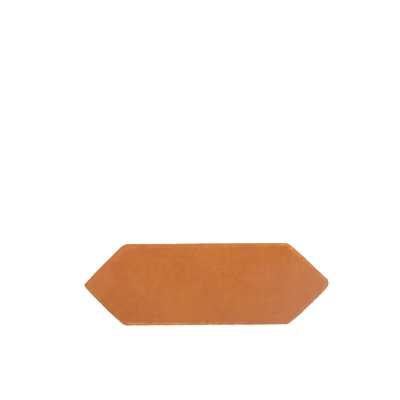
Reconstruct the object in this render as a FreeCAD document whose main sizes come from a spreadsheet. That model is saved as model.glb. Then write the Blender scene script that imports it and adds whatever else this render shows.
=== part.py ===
import FreeCAD
import Part
import Sketcher
import math
import os

# A terracotta picket floor tile: one piece of fired clay, a long hexagon with a blunted
# point at each end. It lies on its bed face, wear face up, with its points along X.
# The origin is at the middle of the bed face.

# Driving dimensions, in millimetres and degrees: alias, value, meaning.
TILE_SIZES = [
    ("tile_length", 300.0, "tip to tip, over the blunted points"),
    ("tile_width", 100.0, "across the two long sides"),
    ("tile_thickness", 20.0, "bed face to wear face"),
    ("left_point_angle", 90.0, "between the two short sides at the left end"),
    ("right_point_angle", 87.0, "between the two short sides at the right end"),
    ("left_tip_radius", 4.0, "blunting of the left point"),
    ("right_tip_radius", 8.0, "blunting of the right point"),
    ("front_left_radius", 11.5, "shoulder between front side and left point"),
    ("front_right_radius", 11.5, "shoulder between front side and right point"),
    ("back_right_radius", 10.5, "shoulder between back side and right point"),
    ("back_left_radius", 14.5, "shoulder between back side and left point"),
    ("side_draft", 1.5, "lean of the sides, so that the clay leaves its mould"),
    ("arris_radius", 2.5, "easing of the wear face's edge"),
    ("foot_chamfer", 1.0, "broken edge round the bed face"),
]

# Corners in order round the outline, from the left point along the front side.
# Each one's radius in the list above is named after it.
CORNERS = ["left_tip", "front_left", "front_right", "right_tip", "back_right", "back_left"]

# How near a height an edge must lie to count as being at it, in millimetres.
LEVEL_TOLERANCE = 1e-4

# Point numbers on a sketch line, and the numbers of the sketch's own X axis and origin.
START = 1
END = 2
X_AXIS = -1
ORIGIN = (-1, 1)


def make_sizes(doc):
    sheet = doc.addObject("Spreadsheet::Sheet", "Sizes")
    for row, (alias, value, meaning) in enumerate(TILE_SIZES, start=1):
        sheet.set(f"A{row}", alias)
        sheet.set(f"B{row}", str(value))
        sheet.set(f"C{row}", meaning)
        sheet.setAlias(f"B{row}", alias)
    doc.recompute()
    return sheet


def sharp_corners(sheet):
    """The outline's corners before they are rounded, by name."""
    half_width = sheet.tile_width / 2
    half_left = math.radians(sheet.left_point_angle / 2)
    half_right = math.radians(sheet.right_point_angle / 2)
    left_tip = -sheet.tile_length / 2 - sheet.left_tip_radius * (1 / math.sin(half_left) - 1)
    right_tip = sheet.tile_length / 2 + sheet.right_tip_radius * (1 / math.sin(half_right) - 1)
    left_shoulder = left_tip + half_width / math.tan(half_left)
    right_shoulder = right_tip - half_width / math.tan(half_right)
    places = [
        (left_tip, 0),
        (left_shoulder, -half_width),
        (right_shoulder, -half_width),
        (right_tip, 0),
        (right_shoulder, half_width),
        (left_shoulder, half_width),
    ]
    return {name: FreeCAD.Vector(x, y, 0) for name, (x, y) in zip(CORNERS, places)}


def origin_plane(body, role):
    return next(item for item in body.Origin.OriginFeatures if item.Role == role)


def add_dimension(sketch, name, direction, ends, expression):
    """A distance along X or Y between two points of the sketch, bound to the sizes."""
    (first, first_point), (second, second_point) = ends
    span = sketch.getPoint(second, second_point) - sketch.getPoint(first, first_point)
    length = span.x if direction == "DistanceX" else span.y
    constraint = Sketcher.Constraint(direction, first, first_point, second, second_point, length)
    index = sketch.addConstraint(constraint)
    sketch.renameConstraint(index, name)
    sketch.setExpression(f"Constraints.{name}", expression)


def make_outline(body, sheet):
    """The sharp-cornered picket, mirrored about the X axis, drawn on the bed plane."""
    sketch = body.newObject("Sketcher::SketchObject", "Outline")
    sketch.AttachmentSupport = [(origin_plane(body, "XY_Plane"), "")]
    sketch.MapMode = "FlatFace"
    corners = list(sharp_corners(sheet).values())
    sides = [Part.LineSegment(start, end) for start, end in zip(corners, corners[1:] + corners[:1])]
    left_front, front, right_front, right_back, back, left_back = sketch.addGeometry(sides, False)

    ring = [left_front, front, right_front, right_back, back, left_back]
    for side, following in zip(ring, ring[1:] + ring[:1]):
        sketch.addConstraint(Sketcher.Constraint("Coincident", side, END, following, START))
    for tip_side in (left_front, right_back):
        sketch.addConstraint(Sketcher.Constraint("PointOnObject", tip_side, START, X_AXIS))
    sketch.addConstraint(Sketcher.Constraint("Symmetric", front, START, back, END, X_AXIS))
    sketch.addConstraint(Sketcher.Constraint("Symmetric", front, END, back, START, X_AXIS))
    sketch.addConstraint(Sketcher.Constraint("Horizontal", front))

    # A blunted tip stands back from its sharp corner, which lies that much beyond the tile's end.
    left_tip = (left_front, START)
    right_tip = (right_back, START)
    reach = "Sizes.tile_length / 2 + Sizes.{0}_tip_radius * (1 / sin(Sizes.{0}_point_angle / 2 * 1 deg) - 1)"
    point = "Sizes.tile_width / 2 / tan(Sizes.{0}_point_angle / 2 * 1 deg)"
    add_dimension(sketch, "width", "DistanceY", [(front, START), (back, END)], "Sizes.tile_width")
    add_dimension(sketch, "left_reach", "DistanceX", [left_tip, ORIGIN], reach.format("left"))
    add_dimension(sketch, "right_reach", "DistanceX", [ORIGIN, right_tip], reach.format("right"))
    add_dimension(sketch, "left_point", "DistanceX", [left_tip, (front, START)], point.format("left"))
    add_dimension(sketch, "right_point", "DistanceX", [(front, END), right_tip], point.format("right"))
    return sketch


def make_blank(doc, body, outline):
    """The clay blank: the outline at full thickness, with upright sides."""
    blank = body.newObject("PartDesign::Pad", "Blank")
    blank.Profile = outline
    blank.setExpression("Length", "Sizes.tile_thickness")
    doc.recompute()
    return blank


def faces_between(shape, low, high):
    """Names of the faces that run from one height to another."""
    return [
        f"Face{number}"
        for number, face in enumerate(shape.Faces, start=1)
        if abs(face.BoundBox.ZMin - low) < LEVEL_TOLERANCE
        and abs(face.BoundBox.ZMax - high) < LEVEL_TOLERANCE
    ]


def edges_at(shape, height):
    """Names of the edges that lie wholly at one height."""
    return [
        f"Edge{number}"
        for number, edge in enumerate(shape.Edges, start=1)
        if abs(edge.BoundBox.ZMin - height) < LEVEL_TOLERANCE
        and abs(edge.BoundBox.ZMax - height) < LEVEL_TOLERANCE
    ]


def upright_edge_at(shape, corner):
    """Name of the edge that rises nearest to a corner."""
    gaps = {}
    for number, edge in enumerate(shape.Edges, start=1):
        foot, head = sorted(edge.Vertexes, key=lambda vertex: vertex.Z)
        if head.Z - foot.Z > LEVEL_TOLERANCE:
            gaps[f"Edge{number}"] = math.hypot(foot.X - corner.x, foot.Y - corner.y)
    return min(gaps, key=gaps.get)


def lean_sides(doc, body, blank, sheet):
    """The sides lean in towards the wear face. They pivot at the top of the foot's broken edge,
    where the tile is widest, so its length and width are those of the sheet."""
    widest = body.newObject("PartDesign::Plane", "WidestLevel")
    widest.AttachmentSupport = [(origin_plane(body, "XY_Plane"), "")]
    widest.MapMode = "FlatFace"
    widest.setExpression("AttachmentOffset.Base.z", "Sizes.foot_chamfer")
    doc.recompute()
    leaning = body.newObject("PartDesign::Draft", "LeaningSides")
    leaning.Base = (blank, faces_between(blank.Shape, 0, sheet.tile_thickness))
    leaning.NeutralPlane = (widest, [""])
    leaning.setExpression("Angle", "Sizes.side_draft")
    doc.recompute()
    return leaning


def round_corners(doc, body, feature, sheet):
    """Each corner has a radius of its own, as hand-worked clay does."""
    for name, corner in sharp_corners(sheet).items():
        size = f"{name}_radius"
        rounding = body.newObject("PartDesign::Fillet", f"Round_{name}")
        rounding.Base = (feature, [upright_edge_at(feature.Shape, corner)])
        rounding.setExpression("Radius", f"Sizes.{size}")
        doc.recompute()
        feature = rounding
    return feature


def ease_edges(doc, body, feature, sheet):
    """The arris round the wear face is rubbed round, and the foot's edge is broken."""
    arris = body.newObject("PartDesign::Fillet", "Arris")
    arris.Base = (feature, edges_at(feature.Shape, sheet.tile_thickness))
    arris.setExpression("Radius", "Sizes.arris_radius")
    doc.recompute()
    foot = body.newObject("PartDesign::Chamfer", "FootEdge")
    foot.Base = (arris, edges_at(arris.Shape, 0))
    foot.setExpression("Size", "Sizes.foot_chamfer")
    doc.recompute()
    return foot


def check_document(doc, body):
    for item in doc.Objects:
        faults = [state for state in item.State if state in ("Invalid", "Error")]
        if faults:
            raise RuntimeError(f"{item.Name} is {faults}")
    if body.Shape.isNull() or not body.Shape.isValid():
        raise RuntimeError(f"{body.Label} has no valid shape")
    if len(body.Shape.Solids) != 1:
        raise RuntimeError(f"{body.Label} has {len(body.Shape.Solids)} solids, and the tile is one piece")


def main():
    doc = FreeCAD.newDocument("PicketTile")
    sheet = make_sizes(doc)
    body = doc.addObject("PartDesign::Body", "Tile")
    body.Label = "picket_tile"
    outline = make_outline(body, sheet)
    blank = make_blank(doc, body, outline)
    leaning = lean_sides(doc, body, blank, sheet)
    rounded = round_corners(doc, body, leaning, sheet)
    body.Tip = ease_edges(doc, body, rounded, sheet)
    doc.recompute()
    check_document(doc, body)

    os.makedirs("parts", exist_ok=True)
    body.Shape.exportStep(f"parts/{body.Label}.step")
    box = body.Shape.optimalBoundingBox()
    print(f"{body.Label}: {box.XLength:.2f} x {box.YLength:.2f} x {box.ZLength:.2f} mm")
    print(f"volume {body.Shape.Volume / 1000:.1f} cm3")


main()
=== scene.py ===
import random
from math import cos, hypot, radians, sin, sqrt, tan

import bmesh
import bpy
from mathutils import Matrix, Vector, noise


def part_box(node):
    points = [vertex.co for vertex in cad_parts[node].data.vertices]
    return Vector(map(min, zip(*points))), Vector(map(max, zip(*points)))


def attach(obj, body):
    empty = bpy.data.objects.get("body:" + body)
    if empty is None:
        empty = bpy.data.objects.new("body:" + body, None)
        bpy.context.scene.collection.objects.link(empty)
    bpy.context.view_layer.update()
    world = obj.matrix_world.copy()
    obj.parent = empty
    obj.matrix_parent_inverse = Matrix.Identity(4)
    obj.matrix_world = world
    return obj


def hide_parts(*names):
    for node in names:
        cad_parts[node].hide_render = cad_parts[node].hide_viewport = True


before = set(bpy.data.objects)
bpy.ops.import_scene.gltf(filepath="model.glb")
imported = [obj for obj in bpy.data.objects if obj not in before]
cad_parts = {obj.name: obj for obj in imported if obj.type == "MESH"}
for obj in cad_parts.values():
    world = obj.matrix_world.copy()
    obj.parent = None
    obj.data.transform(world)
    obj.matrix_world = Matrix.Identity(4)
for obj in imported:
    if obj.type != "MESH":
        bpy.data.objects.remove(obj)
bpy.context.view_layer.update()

mm = 0.001


def hexToLinear(hexColour):
    channels = [int(hexColour[i:i + 2], 16) / 255 for i in (1, 3, 5)]
    return [c / 12.92 if c <= 0.04045 else ((c + 0.055) / 1.055) ** 2.4 for c in channels] + [1.0]


def addNode(tree, kind, settings=None, values=None, links=None):
    node = tree.nodes.new(kind)
    for name, value in (settings or {}).items():
        setattr(node, name, value)
    for socket, value in (values or {}).items():
        node.inputs[socket].default_value = value
    for socket, source in (links or {}).items():
        tree.links.new(source, node.inputs[socket])
    return node


def newMaterial(name):
    material = bpy.data.materials.new(name)
    material.use_nodes = True
    material.node_tree.nodes.clear()
    return material, material.node_tree


def fade(value, start, end):
    # 0 at start, 1 at end, smooth between, whichever way round they are
    t = min(1.0, max(0.0, (value - start) / (end - start)))
    return t * t * (3 - 2 * t)


# Tile body. The outline repeats the CAD part's corners, the rest is hand work in soft clay.
tileBody = {
    "pointAngles": (90.0, 87.0),        # between the short sides, left and right end
    "tipRadii": (4.0 * mm, 8.0 * mm),
    "frontRadii": (11.5 * mm, 11.5 * mm),
    "backRadii": (14.5 * mm, 10.5 * mm),
    "sideDraft": 1.5,                   # degrees
    "arrisRadius": 2.5 * mm,
    "footChamfer": 1.0 * mm,
    "cornerSteps": 10,
    "arrisSteps": 6,
    # cuts along the rim, inside the arris
    "rimLines": (0.35 * mm, 0.7 * mm, 1.05 * mm, 1.4 * mm, 1.9 * mm, 2.8 * mm),
    "cell": 1.0 * mm,                   # spacing of the cuts that carry the relief
    "wallCell": 0.9 * mm,
    "cutSnap": 0.12 * mm,               # a cut this near to a vertex goes through it
    "levelSlack": 0.01 * mm,            # a vertex this near to the top is on the wear face
    "mergeDistance": 0.02 * mm,
    # the six sides in order from the left tip along the front, with steps spread evenly along each
    # bow: how far the side stands in from true, in mm
    # wearAndHighlight: how pale its arris is, rubbed and with painted highlight
    # wearAndHighlightBand: over how many mm either way, and how many mm in from the arris's middle
    # paintedSheen: how much pale sheen is painted along it, as a highlight
    # edgeShade: how dark the painted shade is in a line below its arris
    # grooveShade: how much painted shade lies along the tool's line, and grooveShadeIn: how many mm in
    "sides": {
        "leftFront": {
            "bow": (-0.3, -0.9, -0.9, 0.0), "wearAndHighlight": (0.6, 0.4, 0.1, 0.1), "wearAndHighlightBand": (3.0, 1.0),
            "paintedSheen": 0.15, "edgeShade": (0.3, 0.2, 0.5), "grooveShade": (0.0, 0.0), "grooveShadeIn": 3.0,
        },
        "front": {
            "bow": (0.3, 0.3, 0.3, 0.0, 0.0), "wearAndHighlight": (1.1, 1.2, 1.0, 0.6, 0.6), "wearAndHighlightBand": (2.8, -0.8),
            "paintedSheen": 0.1, "edgeShade": (0.0, 0.0, 0.1, 0.4, 0.3), "grooveShade": (0.0, 0.0), "grooveShadeIn": 3.0,
        },
        "rightFront": {
            "bow": (0.7, -0.5, -0.7, -0.1), "wearAndHighlight": (0.3, 0.3), "wearAndHighlightBand": (3.5, 1.2),
            "paintedSheen": 0.2, "edgeShade": (0.5, 0.5), "grooveShade": (0.0, 0.0), "grooveShadeIn": 3.0,
        },
        "rightBack": {
            # the arris pales towards the back right corner, with wear and painted highlight
            "bow": (0.7, 0.5, -0.1, 0.2), "wearAndHighlight": (0.2, 0.2, 0.4, 0.8), "wearAndHighlightBand": (3.4, 2.3),
            "paintedSheen": 0.3, "edgeShade": (0.9, 0.9, 0.0), "grooveShade": (0.0, 0.0), "grooveShadeIn": 3.0,
        },
        "back": {
            "bow": (0.3, 0.2, -0.1, 0.1, -0.2), "wearAndHighlight": (0.5, 0.3, 0.5, 0.5, 0.4), "wearAndHighlightBand": (3.6, 2.2),
            "paintedSheen": 0.0, "edgeShade": (0.5, 0.5), "grooveShade": (0.0, 0.1, 0.7, 0.7, 0.4), "grooveShadeIn": 2.9,
        },
        "leftBack": {
            "bow": (0.3, 0.1, 0.2, 1.0), "wearAndHighlight": (0.1, 0.1), "wearAndHighlightBand": (5.0, 5.0),
            "paintedSheen": 0.3, "edgeShade": (0.7, 0.8, 1.4), "grooveShade": (0.6, 0.0, 0.1, 0.7), "grooveShadeIn": 2.0,
        },
    },
    "cornerBlend": 12 * mm,             # two sides run into one another over this at a corner
    "sideReach": 14 * mm,               # and pull the face along this far in
    "leftNose": 0.7 * mm,               # the left tip is drawn out a little
    "noseReach": 5 * mm,
    "sideWobble": 0.10 * mm,            # slow wander along a side
    "wobbleSize": 16 * mm,
    "wobbleRow": 7.3,                   # keeps the sides apart in the noise
    "markWander": 0.6,                  # share by which wear and painted highlight, painted sheen and painted shade come and go with it
    "sideDrag": 0.14 * mm,              # mould marks on the walls
    "dragLength": 9 * mm,
    "dragHeight": 2.2 * mm,
    "dragRow": 5.1,
    "wearAndHighlightCore": 0.3,                    # share of its band that is pale in full, from wear and painted highlight
    "sheenFade": (13 * mm, 1 * mm),     # from none to full, in from a side
    "edgeShadeFade": (1.2 * mm, -0.8 * mm),  # from none to full, across the arris and down the wall
    "edgeShadeTail": (-2.5 * mm, -5 * mm),   # where it thins further down
    "edgeShadeThinning": 0.8,
    "topFade": (4 * mm, 1 * mm),        # the face's own work sets in between these, down from the top
    "bedFade": 1.2 * mm,                # and the back's ends here, up from the bed
    "faceHeave": 0.30 * mm,             # slow rise and fall of the wear face
    "heaveSize": 70 * mm,
    "strokeDepth": 0.05 * mm,           # strokes of the board, along the tile
    "strokeLength": 90 * mm,
    "strokeWidth": 5 * mm,
    "strokeRow": 3.7,
    "rimDroop": 0.55 * mm,              # face rubbed down towards its edge
    "rimWidth": 6 * mm,
    "toolLine": 0.28 * mm,              # shallow line where the edge tool ran, just inside the arris
    "toolLinePlace": 3.1 * mm,
    "toolLineWidth": 2.8 * mm,
    "grooveShadeWidth": 1.1 * mm,             # painted shade either way from its middle
    "bedRough": 0.35 * mm,              # the back lay on sand
    "bedGrain": 4 * mm,
    "bedOctaves": (0.8, 2.0, 3),        # falloff, step and number
    # knocks that the arris took: side, share of its length, length, width and depth
    "knocks": [
        ("leftBack", 0.66, 4.5 * mm, 1.9 * mm, 0.30 * mm),
        ("leftBack", 0.51, 2.6 * mm, 1.6 * mm, 0.22 * mm),
        ("leftBack", 0.83, 3.2 * mm, 1.5 * mm, 0.20 * mm),
        ("back", 0.91, 4.2 * mm, 2.2 * mm, 0.25 * mm),
        ("back", 0.69, 3.2 * mm, 2.0 * mm, 0.30 * mm),
        # the next two, at the back right corner, are chips whose fresh clay also paints the corner's
        # highlight
        ("back", 0.02, 5.0 * mm, 3.2 * mm, 0.25 * mm),
        ("rightBack", 0.93, 6.0 * mm, 3.0 * mm, 0.25 * mm),
        ("front", 0.10, 3.6 * mm, 2.2 * mm, 0.30 * mm),
        ("front", 0.19, 4.4 * mm, 2.2 * mm, 0.35 * mm),
    ],
    "knockIn": (0.1, 0.8),              # in from the edge and down from the top, in arris radii
    "knockDown": (0.1, 0.9),
    "knockFresh": 0.8,                  # how much fresh clay shows
    "seed": 11,
    "scatterRun": (0.06, 0.94),         # share of a side that scattered marks keep to
    "chipCount": 36,                    # small chips on the arris
    "chipIn": (0.2 * mm, 1.6 * mm),
    "chipDown": (0.2 * mm, 2.2 * mm),
    "chipWidths": (0.9 * mm, 1.9 * mm),
    "chipStretch": (1.0, 3.2),
    "chipDepths": (0.08 * mm, 0.28 * mm),
    "chipFresh": (0.0, 0.7),
    "chipGrain": 1.7 * mm,
    "chipOctaves": (0.8, 2.0, 3),
    "chipRagged": 0.6,                  # share of a chip's size by which its border wanders
    "chipReach": 1.7,                   # times its size, and no chip gets further than that
    "chipZone": 7 * mm,                 # nor this far from the arris
    "wallRough": 0.36 * mm,             # torn skin of the walls
    "wallGrain": 4 * mm,
    "wallOctaves": (0.9, 2.1, 4),
    "wallTorn": 0.5,                    # 0 tears about half of a wall, 1 nearly all of it
    "wallFade": 4 * mm,                 # sets in over this, down from the arris
    "voidCount": 80,                    # small holes that open in the walls
    "voidClear": (2 * mm, 4 * mm),      # none this near to the bed and the top
    "voidTop": 2 * mm,                  # and none cuts higher than this below the arris
    "voidSizes": (0.8 * mm, 2.0 * mm),
    "voidDepths": (0.15 * mm, 0.50 * mm),
    "pitCount": 34,                     # shallow pits on the wear face
    "pitClear": 5 * mm,                 # none this near to a side
    "pitSizes": (1.1 * mm, 2.2 * mm),
    "pitDepths": (0.08 * mm, 0.25 * mm),
}


def tileCorners(body):
    low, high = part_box("picket_tile")
    halfWidth = (high.y - low.y) / 2
    halfLeft, halfRight = (radians(angle / 2) for angle in body["pointAngles"])
    leftRadius, rightRadius = body["tipRadii"]
    leftTip = low.x - leftRadius * (1 / sin(halfLeft) - 1)
    rightTip = high.x + rightRadius * (1 / sin(halfRight) - 1)
    leftShoulder = leftTip + halfWidth / tan(halfLeft)
    rightShoulder = rightTip - halfWidth / tan(halfRight)
    frontLeft, frontRight = body["frontRadii"]
    backLeft, backRight = body["backRadii"]
    # x, y, radius and half of the inside angle, round from the left tip along the front
    return [
        (leftTip, 0.0, leftRadius, halfLeft),
        (leftShoulder, -halfWidth, frontLeft, radians(90) - halfLeft / 2),
        (rightShoulder, -halfWidth, frontRight, radians(90) - halfRight / 2),
        (rightTip, 0.0, rightRadius, halfRight),
        (rightShoulder, halfWidth, backRight, radians(90) - halfRight / 2),
        (leftShoulder, halfWidth, backLeft, radians(90) - halfLeft / 2),
    ]


def tileSides(body):
    # each side's start, direction, outward normal, length and the radius of its first corner
    corners = tileCorners(body)
    sides = []
    for corner, following, settings in zip(corners, corners[1:] + corners[:1], body["sides"].values()):
        start = Vector((corner[0], corner[1], 0))
        along = Vector((following[0], following[1], 0)) - start
        length = along.length
        along.normalize()
        outward = Vector((along.y, -along.x, 0))
        sides.append({**settings, "start": start, "along": along, "outward": outward, "length": length,
                      "radius": corner[2]})
    return sides


def cutAlongSides(bm, body, level, leanIn):
    # only the wear face is cut, so the walls and the arris stay whole
    top = level - body["levelSlack"]
    for side in tileSides(body):
        for depth in body["rimLines"]:
            verts = [vert for vert in bm.verts if vert.co.z > top]
            edges = [edge for edge in bm.edges if min(vert.co.z for vert in edge.verts) > top]
            faces = [face for face in bm.faces if min(vert.co.z for vert in face.verts) > top]
            place = side["start"] - side["outward"] * (leanIn + body["arrisRadius"] + depth)
            bmesh.ops.bisect_plane(bm, geom=verts + edges + faces, dist=body["cutSnap"],
                                   plane_co=place, plane_no=side["outward"])


def cutAcross(bm, axis, start, end, step, snap):
    count = int((end - start) / step)
    first = start + (end - start - count * step) / 2
    normal = Vector((axis == 0, axis == 1, axis == 2))
    for i in range(count + 1):
        place = first + i * step
        everything = bm.verts[:] + bm.edges[:] + bm.faces[:]
        bmesh.ops.bisect_plane(bm, geom=everything, dist=snap, plane_co=normal * place, plane_no=normal)


def blankTile(body):
    low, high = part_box("picket_tile")
    foot = low.z + body["footChamfer"]
    bm = bmesh.new()
    corners = tileCorners(body)
    cornerVerts = [bm.verts.new((x, y, foot)) for x, y, radius, halfAngle in corners]
    bm.faces.new(cornerVerts)
    for vert, (x, y, radius, halfAngle) in zip(cornerVerts, corners):
        bmesh.ops.bevel(bm, geom=[vert], offset=radius / tan(halfAngle), offset_type="OFFSET",
                        segments=body["cornerSteps"], profile=0.5, affect="VERTICES", material=-1)

    # walls lean in as they rise from the foot, where the tile is widest
    wearFace = bm.faces[:][0]
    rise = high.z - foot
    leanIn = rise * tan(radians(body["sideDraft"]))
    bmesh.ops.inset_region(bm, faces=[wearFace], thickness=leanIn, depth=rise, use_boundary=True,
                           use_even_offset=True)
    openRim = [edge for edge in bm.edges if edge.is_boundary]
    bedFace = bmesh.ops.contextual_create(bm, geom=openRim)["faces"][0]
    bmesh.ops.recalc_face_normals(bm, faces=bm.faces[:])
    bmesh.ops.inset_region(bm, faces=[bedFace], thickness=body["footChamfer"],
                           depth=body["footChamfer"], use_boundary=True, use_even_offset=True)
    bmesh.ops.bevel(bm, geom=wearFace.edges[:], offset=body["arrisRadius"], offset_type="OFFSET",
                    segments=body["arrisSteps"], profile=0.5, affect="EDGES", material=-1)

    # cuts along the rim, then fine ones through the whole tile
    cutAlongSides(bm, body, high.z, leanIn)
    cell, snap = body["cell"], body["cutSnap"]
    cutAcross(bm, 0, low.x + cell, high.x - cell, cell, snap)
    cutAcross(bm, 1, low.y + cell, high.y - cell, cell, snap)
    cutAcross(bm, 2, foot + cell, high.z - body["arrisRadius"] - cell, body["wallCell"], snap)
    bmesh.ops.remove_doubles(bm, verts=bm.verts[:], dist=body["mergeDistance"])
    return bm


def roundedDepth(first, second, firstDepth, secondDepth, radius):
    # how far inside the outline a point lies, where the corner between two sides is rounded
    turn = first["outward"].dot(second["outward"])
    square = 1 - turn * turn
    firstPast, secondPast = radius - firstDepth, radius - secondDepth
    firstShare = (firstPast - turn * secondPast) / square
    secondShare = (secondPast - turn * firstPast) / square
    if firstShare > 0 and secondShare > 0:
        return radius - sqrt(firstShare * firstPast + secondShare * secondPast)
    return min(firstDepth, secondDepth)


def evenSteps(values, share):
    # smooth run through values that stand at even steps from share 0 to 1
    place = min(max(share, 0.0), 1.0) * (len(values) - 1)
    first = min(int(place), len(values) - 2)
    return values[first] + (values[first + 1] - values[first]) * fade(place - first, 0, 1)


def pointAlong(side, share):
    return side["start"] + side["along"] * share * side["length"]


def scatterMarks(body, sides):
    # chips lie on the arris, voids in the walls and pits on the wear face
    draw = random.Random(body["seed"])
    low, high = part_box("picket_tile")
    names = list(body["sides"])
    chips = []
    for name, share, length, width, depth in body["knocks"]:
        side = sides[names.index(name)]
        place = pointAlong(side, share)
        place -= side["outward"] * draw.uniform(*body["knockIn"]) * body["arrisRadius"]
        place.z = high.z - draw.uniform(*body["knockDown"]) * body["arrisRadius"]
        chips.append({"place": place, "along": side["along"], "length": length, "width": width,
                      "depth": depth, "fresh": body["knockFresh"]})
    for i in range(body["chipCount"]):
        side = draw.choice(sides)
        place = pointAlong(side, draw.uniform(*body["scatterRun"]))
        place -= side["outward"] * draw.uniform(*body["chipIn"])
        place.z = high.z - draw.uniform(*body["chipDown"])
        width = draw.uniform(*body["chipWidths"])
        length = width * draw.uniform(*body["chipStretch"])
        depth = draw.uniform(*body["chipDepths"])
        chips.append({"place": place, "along": side["along"], "length": length, "width": width,
                      "depth": depth, "fresh": draw.uniform(*body["chipFresh"])})
    voids = []
    aboveBed, belowTop = body["voidClear"]
    for i in range(body["voidCount"]):
        side = draw.choice(sides)
        place = pointAlong(side, draw.uniform(*body["scatterRun"]))
        place.z = draw.uniform(low.z + aboveBed, high.z - belowTop)
        place -= side["outward"] * (place.z - low.z) * tan(radians(body["sideDraft"]))
        voids.append((place, draw.uniform(*body["voidSizes"]), draw.uniform(*body["voidDepths"])))
    pits = []
    while len(pits) < body["pitCount"]:
        place = Vector((draw.uniform(low.x, high.x), draw.uniform(low.y, high.y), high.z))
        inside = min((side["start"] - place).dot(side["outward"]) for side in sides)
        if inside > body["pitClear"]:
            pits.append((place, draw.uniform(*body["pitSizes"]), draw.uniform(*body["pitDepths"])))
    return chips, voids, pits


def pitDrop(pits, point):
    # how deep the pits, or the walls' voids, are at a point
    drop = 0.0
    for place, size, depth in pits:
        away = (point - place).length / size
        if away < 1:
            drop += depth * (1 - away * away) ** 2
    return drop


def chipBite(body, chip, point):
    # 1 in the middle of a chip, falling to 0 at its ragged border
    offset = point - chip["place"]
    run = offset.dot(chip["along"])
    away = hypot(run / chip["length"], (offset - chip["along"] * run).length / chip["width"])
    if away > body["chipReach"]:
        return 0.0
    away += body["chipRagged"] * noise.fractal(point / body["chipGrain"], *body["chipOctaves"])
    return (1 - away * away) ** 2 if abs(away) < 1 else 0.0


def sideWork(body, side, number, point, onTop):
    # how far a side stands in at this point, and how its wear and painted highlight, painted sheen and
    # painted shade run there
    run = (point - side["start"]).dot(side["along"])
    share = run / side["length"]
    wander = noise.noise(Vector((run / body["wobbleSize"], number * body["wobbleRow"], 0)))
    drag = noise.noise(Vector((run / body["dragLength"], number * body["dragRow"],
                               point.z / body["dragHeight"])))
    inward = evenSteps(side["bow"], share) * mm
    inward += body["sideWobble"] * (0.5 + 0.5 * wander)
    inward += body["sideDrag"] * (0.5 + 0.5 * drag) * (1 - onTop)
    wearAndHighlight, edgeShade, grooveShade = (evenSteps(side[name], share) for name in ("wearAndHighlight", "edgeShade", "grooveShade"))
    marks = Vector((wearAndHighlight, side["paintedSheen"], edgeShade, grooveShade)) * (1 + body["markWander"] * wander)
    return inward, marks, Vector((*side["wearAndHighlightBand"], side["grooveShadeIn"]))


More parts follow.
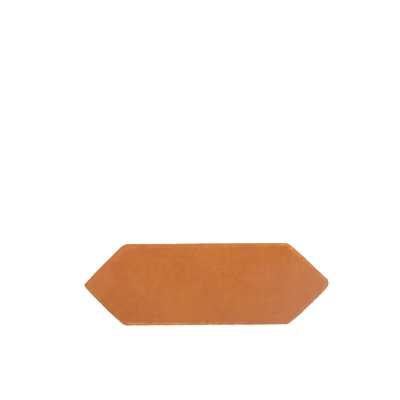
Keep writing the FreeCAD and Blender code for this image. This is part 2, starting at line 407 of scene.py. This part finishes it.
def workClay(bm, body):
    low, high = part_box("picket_tile")
    sides = tileSides(body)
    chips, voids, pits = scatterMarks(body, sides)
    layers = [bm.verts.layers.float.new(name) for name in ("rubbedAndHighlight", "paintedSheen", "edgeShade", "fresh")]
    lean = tan(radians(body["sideDraft"]))
    leftTip = sides[0]["start"]
    topStart, topFull = (high.z - depth for depth in body["topFade"])
    for vert in bm.verts:
        point = vert.co.copy()
        onTop = fade(point.z, topStart, topFull)
        onBed = fade(point.z, low.z + body["bedFade"], low.z)
        depths = [(side["start"] - point).dot(side["outward"]) - lean * (point.z - low.z) for side in sides]
        inside = min(depths)
        move = Vector((0, 0, 0))
        wearAndHighlight = paintedSheen = edgeShade = fresh = 0.0

        # sides cut by eye: each has its own bow, wear and painted highlight, and at a corner both its sides
        # move it
        if inside < body["sideReach"]:
            one, two = sorted(range(len(sides)), key=lambda number: depths[number])[:2]
            first, second = sides[one], sides[two]
            corner = second if (two - one) % len(sides) == 1 else first
            inside = roundedDepth(first, second, depths[one], depths[two], corner["radius"])
            meeting = fade(depths[two] - depths[one], body["cornerBlend"], 0)
            outwards = (first["outward"] + second["outward"] * meeting).normalized()
            firstIn, firstMarks, firstBand = sideWork(body, first, one, point, onTop)
            secondIn, secondMarks, secondBand = sideWork(body, second, two, point, onTop)
            turn = meeting * first["outward"].dot(second["outward"])
            near = fade(inside, body["sideReach"], 0)
            share = near / (1 - turn * turn)
            move -= first["outward"] * (firstIn - turn * meeting * secondIn) * share
            move -= second["outward"] * (meeting * secondIn - turn * firstIn) * share
            fromTip = hypot(point.x - leftTip.x, point.y - leftTip.y)
            move.x -= body["leftNose"] * fade(fromTip, body["noseReach"], 0)

            # wear and painted highlight, painted sheen and painted shade lie along the arris, which both
            # sides share at a corner
            wearAndHighlight, paintedSheen, edgeShade, grooveShade = (firstMarks + secondMarks * meeting) / (1 + meeting)
            width, place, grooveShadeIn = (firstBand + secondBand * meeting) / (1 + meeting)
            overArris = inside - (high.z - point.z)  # in along the face, or minus down the wall
            wearAndHighlight *= fade(abs(overArris - place * mm), width * mm, body["wearAndHighlightCore"] * width * mm)
            paintedSheen *= fade(inside, *body["sheenFade"])
            edgeShade *= fade(overArris, *body["edgeShadeFade"])
            edgeShade *= 1 - body["edgeShadeThinning"] * fade(overArris, *body["edgeShadeTail"])
            # painted shade along the tool's line on the wear face
            if onTop > 0:
                edgeShade += grooveShade * fade(abs(inside - grooveShadeIn * mm), body["grooveShadeWidth"], 0)

            # torn skin of the walls, and chips knocked out of the arris that show fresh clay
            tear = max(0.0, body["wallTorn"] + noise.fractal(point / body["wallGrain"], *body["wallOctaves"]))
            onWall = fade(overArris, 0, -body["wallFade"]) * (1 - onBed)
            move -= outwards * body["wallRough"] * tear * onWall
            if overArris < -body["voidTop"]:
                move -= outwards * pitDrop(voids, point)
            for chip in chips if abs(overArris) < body["chipZone"] else []:
                bite = chipBite(body, chip, point)
                move += (Vector((0, 0, -1)) - outwards).normalized() * chip["depth"] * bite
                fresh = max(fresh, chip["fresh"] * bite)

        # wear face: slow heave, board strokes, worn down at the rim, with the edge tool's line
        if onTop > 0:
            heave = noise.noise(Vector((point.x, point.y, 0)) / body["heaveSize"])
            stroke = noise.noise(Vector((point.x / body["strokeLength"], point.y / body["strokeWidth"],
                                         body["strokeRow"])))
            drop = body["faceHeave"] * (0.5 + 0.5 * heave) + body["strokeDepth"] * (0.5 + 0.5 * stroke)
            drop += body["rimDroop"] * fade(inside, body["rimWidth"], 0)
            offLine = 2 * abs(inside - body["toolLinePlace"]) / body["toolLineWidth"]
            if offLine < 1:
                drop += body["toolLine"] * (1 - offLine * offLine) ** 2
            drop += pitDrop(pits, point)
            move.z -= drop * onTop

        # sandy back, still level where it stands
        if onBed > 0:
            grain = noise.fractal(point / body["bedGrain"], *body["bedOctaves"])
            move.z += body["bedRough"] * max(0.0, grain) * onBed

        for layer, value in zip(layers, (wearAndHighlight, paintedSheen, edgeShade, fresh)):
            vert[layer] = value
        vert.co = point + move


def terracottaTile(body):
    bm = blankTile(body)
    print("tile blank cut:", len(bm.faces), "faces")
    workClay(bm, body)
    bmesh.ops.recalc_face_normals(bm, faces=bm.faces[:])
    for face in bm.faces:
        face.smooth = True
    mesh = bpy.data.meshes.new("terracotta_tile")
    bm.to_mesh(mesh)
    bm.free()
    tile = bpy.data.objects.new("terracotta_tile", mesh)
    bpy.context.scene.collection.objects.link(tile)
    return tile


# Terracotta: red earthenware, pressed in a mould, struck off with a board and fired unglazed.
# It gives the eye a chalky orange, faintly clouded and streaked, with fine pores; a pale sheen and some shade
# are painted into its colour.
clayLook = {
    "deep": "#B05208",            # the clay runs between these two
    "warm": "#DE8845",
    "cloudSize": 32 * mm,
    "cloudAmount": 0.30,
    "mottleSize": 7 * mm,
    "mottleAmount": 0.30,
    "grainSize": 1.6 * mm,        # real grain is finer, drawn coarser so that it shows
    "grainAmount": 0.50,
    "streakLength": 60 * mm,
    "streakWidth": 3 * mm,
    "streakAmount": 0.16,
    "flashAmount": 0.07,          # front left fired a little deeper
    "flashSlope": 0.8,            # weight of the front beside the left
    "flashRun": (-85 * mm, -155 * mm),
    "salts": "#CB9A80",           # thin pale salts in patches
    "saltSize": 9 * mm,
    "saltSpread": (0.35, 0.65),   # of the noise, from none to full
    "saltAmount": 0.06,
    # patches that fired unevenly: middle, half length and half width, colour, amount
    "patches": [
        ((80 * mm, 2 * mm), (34 * mm, 26 * mm), "#B07060", 0.15),
        ((26 * mm, -39 * mm), (36 * mm, 13 * mm), "#8A5A40", 0.08),
        ((-32 * mm, -22 * mm), (36 * mm, 30 * mm), "#E29A40", 0.09),
        ((-130 * mm, 8 * mm), (22 * mm, 26 * mm), "#D49A74", 0.10),
        ((-134 * mm, -12 * mm), (16 * mm, 11 * mm), "#DFAA5F", 0.12),
        ((-92 * mm, -26 * mm), (36 * mm, 20 * mm), "#8A5A38", 0.06),
    ],
    "patchRagged": 0.8,           # how far a border wanders, in half sizes
    "patchFade": (1.4, 0.7),      # from none to full
    "grog": "#E3B27C",            # grains of crushed tile in the clay, a few of them pale
    "grogSpacing": 8 * mm,
    "grogSize": 0.9 * mm,
    "grogCore": 0.6,              # share of a grain that shows in full
    "grogChance": (0.4, 0.8),     # few cells have a grain that shows in full
    "grogAmount": 0.22,
    "paintedSheen": "#C78967",           # painted sheen, towards the right end
    "sheenStart": 50 * mm,
    "sheenEnd": 238 * mm,
    "sheenSlant": -0.6,           # reaches further at the front
    "sheenRagged": 50 * mm,
    "frontShade": "#AE704C",            # painted shade, darker and duller towards the front
    "frontShadeRun": (10 * mm, -50 * mm),
    "frontShadeAmount": 0.16,
    "speckSize": 2.4 * mm,        # breaks up what lies on the arris
    "speckSpread": (0.3, 0.7),
    "speckLeast": 0.2,
    "runSpread": (0.35, 0.65),    # and this lets it come and go over longer runs
    "runRange": (0.55, 1.35),
    "rubbedAndHighlight": "#F0A866",          # arris worn pale, and painted highlight
    "edgeShade": "#7A3A1A",            # painted shade in a line below the arris and along the tool's line
    "freshClay": "#D8985F",       # where it is chipped
    "freshRagged": 0.7,
    "freshSpread": (0.55, 0.8),
    "freshAmount": 0.6,
    "sand": "#C99A6C",            # stuck to the back, thicker in some places
    "sandHeight": (1.5 * mm, 0.2 * mm),
    "sandSpread": (0.4, 0.6),
    "sandRange": (0.25, 0.7),
    "poreSpacing": 1.6 * mm,
    "poreWidth": 0.25,            # share of the spacing
    "poreShare": 0.6,             # of the relief, beside the grain
    "poreDepth": 0.2 * mm,
    "reliefStrength": 0.25,
    "roughness": 0.78,
    "roughSpread": 0.06,
    "ior": 1.5,
    "gloss": 0.2,                 # porous clay reflects little
}


def terracottaClay(look):
    material, tree = newMaterial("fired_terracotta")
    place = addNode(tree, "ShaderNodeTexCoord").outputs["Object"]
    axes = addNode(tree, "ShaderNodeSeparateXYZ", {}, {}, {0: place})

    # clouds, mottle, grain and streaks each lean the clay towards deep or warm
    clouds = addNode(tree, "ShaderNodeTexNoise", {}, {"Scale": 1 / look["cloudSize"], "Detail": 1.0},
                     {"Vector": place})
    mottle = addNode(tree, "ShaderNodeTexNoise", {}, {"Scale": 1 / look["mottleSize"], "Detail": 2.0},
                     {"Vector": place})
    grain = addNode(tree, "ShaderNodeTexNoise", {}, {"Scale": 1 / look["grainSize"], "Detail": 2.0},
                    {"Vector": place})
    along = addNode(tree, "ShaderNodeMapping", {},
                    {"Scale": (1 / look["streakLength"], 1 / look["streakWidth"], 1 / look["streakWidth"])},
                    {"Vector": place})
    streaks = addNode(tree, "ShaderNodeTexNoise", {}, {"Scale": 1.0, "Detail": 2.0},
                      {"Vector": along.outputs[0]})
    amounts = [look[name] for name in ("cloudAmount", "mottleAmount", "grainAmount", "streakAmount")]
    lean = addNode(tree, "ShaderNodeMath", {"operation": "MULTIPLY_ADD"},
                   {1: amounts[0], 2: 0.5 - 0.5 * sum(amounts)}, {0: clouds.outputs["Fac"]})
    for layer, amount in zip((mottle, grain, streaks), amounts[1:]):
        lean = addNode(tree, "ShaderNodeMath", {"operation": "MULTIPLY_ADD"}, {1: amount},
                       {0: layer.outputs["Fac"], 2: lean.outputs[0]})
    towardsFrontLeft = addNode(tree, "ShaderNodeMath", {"operation": "MULTIPLY_ADD"},
                               {1: look["flashSlope"]}, {0: axes.outputs["Y"], 2: axes.outputs["X"]})
    flashStart, flashEnd = look["flashRun"]
    flash = addNode(tree, "ShaderNodeMapRange", {},
                    {"From Min": flashStart, "From Max": flashEnd, "To Max": -look["flashAmount"]},
                    {"Value": towardsFrontLeft.outputs[0]})
    lean = addNode(tree, "ShaderNodeMath", {"operation": "ADD"}, {},
                   {0: lean.outputs[0], 1: flash.outputs["Result"]})
    clay = addNode(tree, "ShaderNodeMix", {"data_type": "RGBA"},
                   {6: hexToLinear(look["deep"]), 7: hexToLinear(look["warm"])}, {0: lean.outputs[0]})

    # thin salts, and grains of crushed tile
    salts = addNode(tree, "ShaderNodeTexNoise", {"noise_dimensions": "4D"},
                    {"Scale": 1 / look["saltSize"], "Detail": 5.0, "Roughness": 0.6, "W": 2.0},
                    {"Vector": place})
    saltNone, saltFull = look["saltSpread"]
    saltAmount = addNode(tree, "ShaderNodeMapRange", {},
                         {"From Min": saltNone, "From Max": saltFull, "To Max": look["saltAmount"]},
                         {"Value": salts.outputs["Fac"]})
    salted = addNode(tree, "ShaderNodeMix", {"data_type": "RGBA"}, {7: hexToLinear(look["salts"])},
                     {0: saltAmount.outputs["Result"], 6: clay.outputs[2]})
    cells = addNode(tree, "ShaderNodeTexVoronoi", {}, {"Scale": 1 / look["grogSpacing"]}, {"Vector": place})
    reach = look["grogSize"] / look["grogSpacing"]
    grains = addNode(tree, "ShaderNodeMapRange", {},
                     {"From Min": reach, "From Max": look["grogCore"] * reach, "To Max": look["grogAmount"]},
                     {"Value": cells.outputs["Distance"]})
    rare, sure = look["grogChance"]
    chance = addNode(tree, "ShaderNodeMapRange", {}, {"From Min": rare, "From Max": sure},
                     {"Value": cells.outputs["Color"]})
    shown = addNode(tree, "ShaderNodeMath", {"operation": "MULTIPLY"}, {},
                    {0: grains.outputs["Result"], 1: chance.outputs["Result"]})
    grained = addNode(tree, "ShaderNodeMix", {"data_type": "RGBA"}, {7: hexToLinear(look["grog"])},
                      {0: shown.outputs[0], 6: salted.outputs[2]})

    # patches with ragged borders
    uneven = grained
    patchNone, patchFull = look["patchFade"]
    for (x, y), (halfLength, halfWidth), colour, amount in look["patches"]:
        spot = addNode(tree, "ShaderNodeMapping", {"vector_type": "TEXTURE"},
                       {"Location": (x, y, 0.0), "Scale": (halfLength, halfWidth, 1.0)}, {"Vector": place})
        away = addNode(tree, "ShaderNodeVectorMath", {"operation": "LENGTH"}, {}, {0: spot.outputs[0]})
        border = addNode(tree, "ShaderNodeMath", {"operation": "MULTIPLY_ADD"}, {1: look["patchRagged"]},
                         {0: mottle.outputs["Fac"], 2: away.outputs["Value"]})
        inPatch = addNode(tree, "ShaderNodeMapRange", {"interpolation_type": "SMOOTHSTEP"},
                          {"From Min": patchNone, "From Max": patchFull, "To Max": amount},
                          {"Value": border.outputs[0]})
        uneven = addNode(tree, "ShaderNodeMix", {"data_type": "RGBA"}, {7: hexToLinear(colour)},
                         {0: inPatch.outputs["Result"], 6: uneven.outputs[2]})

    # painted sheen comes in from the right end, further at the front, with a ragged border; along the sides
    # it is painted highlight
    slant = addNode(tree, "ShaderNodeMath", {"operation": "MULTIPLY_ADD"}, {1: look["sheenSlant"]},
                    {0: axes.outputs["Y"], 2: axes.outputs["X"]})
    raggedRun = addNode(tree, "ShaderNodeMath", {"operation": "MULTIPLY_ADD"}, {1: look["sheenRagged"]},
                        {0: clouds.outputs["Fac"], 2: slant.outputs[0]})
    sheenStart, sheenEnd = (look[name] + look["sheenRagged"] / 2 for name in ("sheenStart", "sheenEnd"))
    endSheen = addNode(tree, "ShaderNodeMapRange", {"interpolation_type": "SMOOTHSTEP"},
                       {"From Min": sheenStart, "From Max": sheenEnd}, {"Value": raggedRun.outputs[0]})
    sideSheen = addNode(tree, "ShaderNodeAttribute", {"attribute_name": "paintedSheen"})
    sheenAmount = addNode(tree, "ShaderNodeMath", {"operation": "MULTIPLY_ADD", "use_clamp": True}, {},
                          {0: sideSheen.outputs["Fac"], 1: mottle.outputs["Fac"],
                           2: endSheen.outputs["Result"]})
    sheened = addNode(tree, "ShaderNodeMix", {"data_type": "RGBA"}, {7: hexToLinear(look["paintedSheen"])},
                      {0: sheenAmount.outputs[0], 6: uneven.outputs[2]})
    # painted shade, darker and duller towards the front
    frontShadeStart, frontShadeEnd = look["frontShadeRun"]
    frontShadeAmount = addNode(tree, "ShaderNodeMapRange", {},
                         {"From Min": frontShadeStart, "From Max": frontShadeEnd, "To Max": look["frontShadeAmount"]},
                         {"Value": axes.outputs["Y"]})
    frontShaded = addNode(tree, "ShaderNodeMix", {"data_type": "RGBA"}, {7: hexToLinear(look["frontShade"])},
                    {0: frontShadeAmount.outputs["Result"], 6: sheened.outputs[2]})

    # arris rubbed pale with painted highlight, painted shade in a line below it and along the tool's line,
    # and paler still where it is chipped
    specks = addNode(tree, "ShaderNodeTexNoise", {}, {"Scale": 1 / look["speckSize"], "Detail": 3.0},
                     {"Vector": place})
    speckNone, speckFull = look["speckSpread"]
    broken = addNode(tree, "ShaderNodeMapRange", {},
                     {"From Min": speckNone, "From Max": speckFull, "To Min": look["speckLeast"]},
                     {"Value": specks.outputs["Fac"]})
    runLow, runHigh = look["runSpread"]
    runLeast, runMost = look["runRange"]
    runs = addNode(tree, "ShaderNodeMapRange", {},
                   {"From Min": runLow, "From Max": runHigh, "To Min": runLeast, "To Max": runMost},
                   {"Value": mottle.outputs["Fac"]})
    brokenRuns = addNode(tree, "ShaderNodeMath", {"operation": "MULTIPLY"}, {},
                         {0: broken.outputs["Result"], 1: runs.outputs["Result"]})
    layered = frontShaded
    for name in ("rubbedAndHighlight", "edgeShade"):
        amount = addNode(tree, "ShaderNodeAttribute", {"attribute_name": name})
        patchy = addNode(tree, "ShaderNodeMath", {"operation": "MULTIPLY"}, {},
                         {0: amount.outputs["Fac"], 1: brokenRuns.outputs[0]})
        layered = addNode(tree, "ShaderNodeMix", {"data_type": "RGBA"}, {7: hexToLinear(look[name])},
                          {0: patchy.outputs[0], 6: layered.outputs[2]})
    fresh = addNode(tree, "ShaderNodeAttribute", {"attribute_name": "fresh"})
    raggedFresh = addNode(tree, "ShaderNodeMath", {"operation": "MULTIPLY_ADD"}, {1: look["freshRagged"]},
                          {0: specks.outputs["Fac"], 2: fresh.outputs["Fac"]})
    freshNone, freshFull = look["freshSpread"]
    chipped = addNode(tree, "ShaderNodeMapRange", {},
                      {"From Min": freshNone, "From Max": freshFull, "To Max": look["freshAmount"]},
                      {"Value": raggedFresh.outputs[0]})
    layered = addNode(tree, "ShaderNodeMix", {"data_type": "RGBA"}, {7: hexToLinear(look["freshClay"])},
                      {0: chipped.outputs["Result"], 6: layered.outputs[2]})

    # sand on the back, thicker in some places
    sandTop, sandFull = look["sandHeight"]
    onBack = addNode(tree, "ShaderNodeMapRange", {}, {"From Min": sandTop, "From Max": sandFull},
                     {"Value": axes.outputs["Z"]})
    sandLow, sandHigh = look["sandSpread"]
    sandLeast, sandMost = look["sandRange"]
    thick = addNode(tree, "ShaderNodeMapRange", {},
                    {"From Min": sandLow, "From Max": sandHigh, "To Min": sandLeast, "To Max": sandMost},
                    {"Value": clouds.outputs["Fac"]})
    sandAmount = addNode(tree, "ShaderNodeMath", {"operation": "MULTIPLY"}, {},
                         {0: onBack.outputs["Result"], 1: thick.outputs["Result"]})
    sandGrains = addNode(tree, "ShaderNodeMath", {"operation": "MULTIPLY"}, {},
                         {0: sandAmount.outputs[0], 1: broken.outputs["Result"]})
    sandy = addNode(tree, "ShaderNodeMix", {"data_type": "RGBA"}, {7: hexToLinear(look["sand"])},
                    {0: sandGrains.outputs[0], 6: layered.outputs[2]})

    # fine grain and pores stand in the normal
    pores = addNode(tree, "ShaderNodeTexVoronoi", {}, {"Scale": 1 / look["poreSpacing"]}, {"Vector": place})
    poreDepth = addNode(tree, "ShaderNodeMapRange", {}, {"From Min": 0.0, "From Max": look["poreWidth"]},
                        {"Value": pores.outputs["Distance"]})
    relief = addNode(tree, "ShaderNodeMath", {"operation": "MULTIPLY_ADD"}, {1: look["poreShare"]},
                     {0: poreDepth.outputs["Result"], 2: grain.outputs["Fac"]})
    bump = addNode(tree, "ShaderNodeBump", {},
                   {"Strength": look["reliefStrength"], "Distance": look["poreDepth"]},
                   {"Height": relief.outputs[0]})
    smoothest, roughest = (look["roughness"] + sign * look["roughSpread"] for sign in (-1, 1))
    rough = addNode(tree, "ShaderNodeMapRange", {}, {"To Min": smoothest, "To Max": roughest},
                    {"Value": mottle.outputs["Fac"]})
    shader = addNode(tree, "ShaderNodeBsdfPrincipled", {},
                     {"IOR": look["ior"], "Specular IOR Level": look["gloss"]},
                     {"Base Color": sandy.outputs[2], "Roughness": rough.outputs["Result"],
                      "Normal": bump.outputs["Normal"]})
    addNode(tree, "ShaderNodeOutputMaterial", {}, {}, {"Surface": shader.outputs["BSDF"]})
    return material


tile = terracottaTile(tileBody)
tile.data.materials.append(terracottaClay(clayLook))
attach(tile, "root")
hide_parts("picket_tile")
print("tile worked:", len(tile.data.vertices), "vertices")


# Floor of matt pale paper, white to the camera, that keeps the tile's soft shadow.
studio = {
    "floorSize": 6.0,
    "floorColour": "#F2F2F0",
    "floorLift": 0.58,                  # added for the camera, not for the tile
    "skyLight": 0.62,
    # soft boxes: place, size and power
    "backWindow": {"place": (0.5, 1.1, 1.15), "size": (1.2, 1.0), "power": 12.8},
    "frontCard": {"place": (-0.2, -1.7, 0.4), "size": (1.8, 0.6), "power": 5.6},
}


def seenRays(tree):
    # 1 where the camera looks, straight or by a reflection, and 0 for light that falls on things
    rays = addNode(tree, "ShaderNodeLightPath")
    seen = rays.outputs["Is Camera Ray"]
    for name in ("Is Glossy Ray", "Is Transmission Ray"):
        seen = addNode(tree, "ShaderNodeMath", {"operation": "MAXIMUM"}, {},
                       {0: seen, 1: rays.outputs[name]}).outputs[0]
    return seen


def paleFloor(settings):
    bm = bmesh.new()
    bmesh.ops.create_grid(bm, x_segments=1, y_segments=1, size=settings["floorSize"] / 2)
    mesh = bpy.data.meshes.new("pale_floor")
    bm.to_mesh(mesh)
    bm.free()
    floor = bpy.data.objects.new("pale_floor", mesh)
    bpy.context.scene.collection.objects.link(floor)
    material, tree = newMaterial("pale_paper")
    lift = addNode(tree, "ShaderNodeMath", {"operation": "MULTIPLY"}, {1: settings["floorLift"]},
                   {0: seenRays(tree)})
    glow = addNode(tree, "ShaderNodeEmission", {}, {}, {"Strength": lift.outputs[0]})
    paper = addNode(tree, "ShaderNodeBsdfDiffuse", {}, {"Color": hexToLinear(settings["floorColour"])})
    both = addNode(tree, "ShaderNodeAddShader", {}, {}, {0: paper.outputs[0], 1: glow.outputs[0]})
    addNode(tree, "ShaderNodeOutputMaterial", {}, {}, {"Surface": both.outputs[0]})
    mesh.materials.append(material)


def whiteRoom(settings):
    world = bpy.data.worlds.new("white_room")
    bpy.context.scene.world = world
    world.use_nodes = True
    tree = world.node_tree
    tree.nodes.clear()
    level = addNode(tree, "ShaderNodeMapRange", {}, {"To Min": settings["skyLight"], "To Max": 1.0},
                    {"Value": seenRays(tree)})
    sky = addNode(tree, "ShaderNodeBackground", {}, {"Color": (1, 1, 1, 1)},
                  {"Strength": level.outputs["Result"]})
    addNode(tree, "ShaderNodeOutputWorld", {}, {}, {"Surface": sky.outputs[0]})


def softBox(name, box):
    lamp = bpy.data.lights.new(name, "AREA")
    lamp.shape = "RECTANGLE"
    lamp.size, lamp.size_y = box["size"]
    lamp.energy = box["power"]
    light = bpy.data.objects.new(name, lamp)
    light.location = box["place"]
    light.rotation_euler = (-light.location).to_track_quat("-Z", "Y").to_euler()
    bpy.context.scene.collection.objects.link(light)


# Camera: near overhead, a little from the front, with the tile where the photograph has it.
cameraView = {
    "frameSize": 400,                   # pixels
    "tileCentre": (206.65, 283.05),     # pixels, y downwards, of the wear face
    "tileLength": 246.3,                # pixels that the tile's length takes there
    "elevation": 80.0,                  # of the lens axis
    "roll": 0.52,
    "lens": 108.6,
    "sensor": 36.0,
    "clip": (0.05, 50.0),               # metres
}


def photoCamera(view):
    low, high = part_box("picket_tile")
    pixelsPerTangent = view["lens"] / view["sensor"] * view["frameSize"]
    depth = pixelsPerTangent * (high.x - low.x) / view["tileLength"]
    tilt, roll = radians(view["elevation"]), radians(view["roll"])
    forward = Vector((0, cos(tilt), -sin(tilt)))
    up = Vector((0, sin(tilt), cos(tilt)))
    right = Vector((1, 0, 0))
    right, up = right * cos(roll) - up * sin(roll), up * cos(roll) + right * sin(roll)
    acrossPixels = view["tileCentre"][0] - view["frameSize"] / 2
    downPixels = view["tileCentre"][1] - view["frameSize"] / 2
    ray = forward + (right * acrossPixels - up * downPixels) / pixelsPerTangent
    target = Vector((0, 0, high.z))

    lensData = bpy.data.cameras.new("photo_camera")
    lensData.lens = view["lens"]
    lensData.sensor_width = view["sensor"]
    lensData.clip_start, lensData.clip_end = view["clip"]
    camera = bpy.data.objects.new("photo_camera", lensData)
    turn = Matrix((right, up, -forward)).transposed().to_4x4()
    camera.matrix_world = Matrix.Translation(target - ray * depth) @ turn
    bpy.context.scene.collection.objects.link(camera)
    bpy.context.scene.camera = camera


paleFloor(studio)
whiteRoom(studio)
softBox("back_window", studio["backWindow"])
softBox("front_card", studio["frontCard"])
photoCamera(cameraView)
bpy.context.scene.view_settings.view_transform = "Standard"
print("floor, light and camera set")
